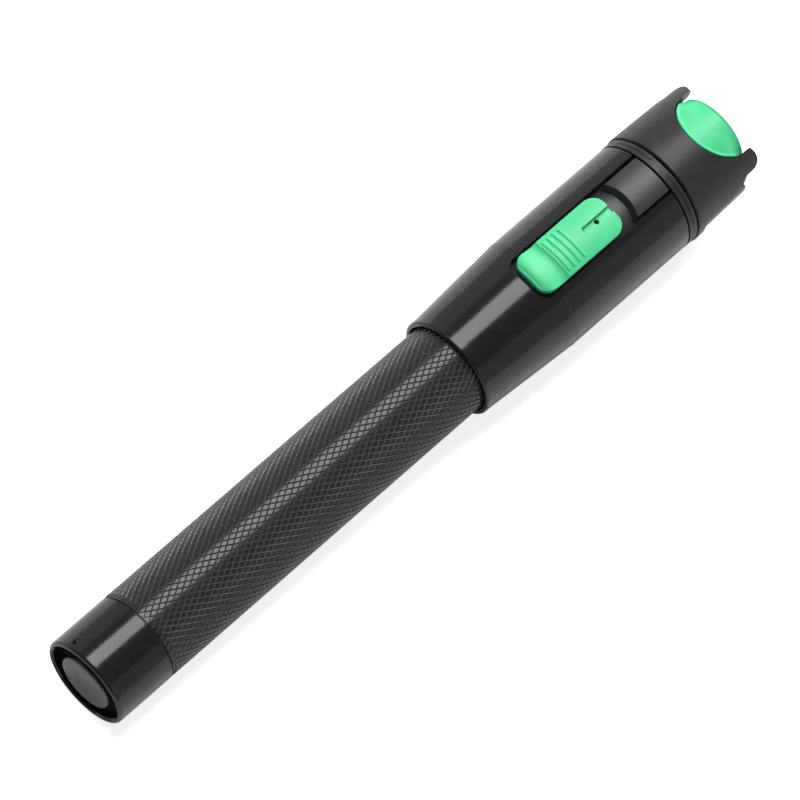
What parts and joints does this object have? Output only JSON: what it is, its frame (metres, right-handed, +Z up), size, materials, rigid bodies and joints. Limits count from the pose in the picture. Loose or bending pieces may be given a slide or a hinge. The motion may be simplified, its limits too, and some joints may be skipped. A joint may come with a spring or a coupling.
{
  "type": "visual fault locator",
  "caption": "Pen-shaped visual fault locator: knurled battery tube, turned head with a slide switch, and a crowned port with a flip-up dust cap.",
  "frame": {"origin": "under the middle of the pen's length, on the plane of the feet under its hinge", "axes": "+X along the pen from the tail cap to the fibre port, +Z up through the slide switch"},
  "size_m": [0.18, 0.0266, 0.028],
  "materials": {
    "gloss_black_anodised": "glossy black anodise, finely turned",
    "satin_black_anodised": "satin black anodise over a cut diamond knurl",
    "matte_dark_grey": "blasted dark grey anodise",
    "green_plastic": "fine satin moulding",
    "dark_plastic": "satin moulding",
    "nickel_steel": "satin nickel plate",
    "spring_steel": "drawn wire",
    "black_rubber": "smooth moulded rubber",
    "seal_rubber": "soft moulded pad",
    "cell_sleeve": "printed film sleeve, left bare",
    "brass": "turned brass",
    "board_laminate": "solder mask over glass laminate",
    "lens_glass": "polished",
    "white_ceramic": "ground zirconia"
  },
  "bodies": {
    "pen_body": {"knurled_barrel": "satin_black_anodised", "rear_cell": "cell_sleeve", "front_cell": "cell_sleeve", "front_contact": "brass", "contact_insulator": "dark_plastic", "head_o_ring": "black_rubber", "head_shell": "gloss_black_anodised", "switch_chassis": "dark_plastic", "circuit_board": "board_laminate", "slide_switch_body": "dark_plastic", "laser_housing": "brass", "laser_diode": "nickel_steel", "collimating_lens": "lens_glass", "lens_retainer": "brass", "ferrule_adapter": "nickel_steel", "alignment_sleeve": "white_ceramic", "adapter_nut": "nickel_steel", "spacer_ring": "matte_dark_grey", "crown_collar": "matte_dark_grey", "hinge_bracket": "dark_plastic", "bracket_screws": "nickel_steel", "hinge_pin": "nickel_steel"},
    "tail_end": {"tail_cap": "gloss_black_anodised", "tail_magnet": "nickel_steel", "tail_contact_spring": "spring_steel", "tail_o_ring": "black_rubber"},
    "switch": {"switch_knob": "green_plastic", "slide_switch_lever": "dark_plastic"},
    "cap": {"dust_cap": "green_plastic", "cap_seal": "seal_rubber"}
  },
  "joints": [
    {"name": "switch_slide", "type": "slide", "parent": "pen_body", "child": "switch", "axis": [1, 0, 0], "range_m": [0, 0.0026]},
    {"name": "dust_cap_flip", "type": "hinge", "parent": "pen_body", "child": "cap", "pos_m": [0.0875, 0, 0.0015], "axis": [0, 1, 0], "range_deg": [0, 110]},
    {"name": "tail_cap_off", "type": "slide", "parent": "pen_body", "child": "tail_end", "axis": [-1, 0, 0], "range_m": [0, 0.012]}
  ]
}
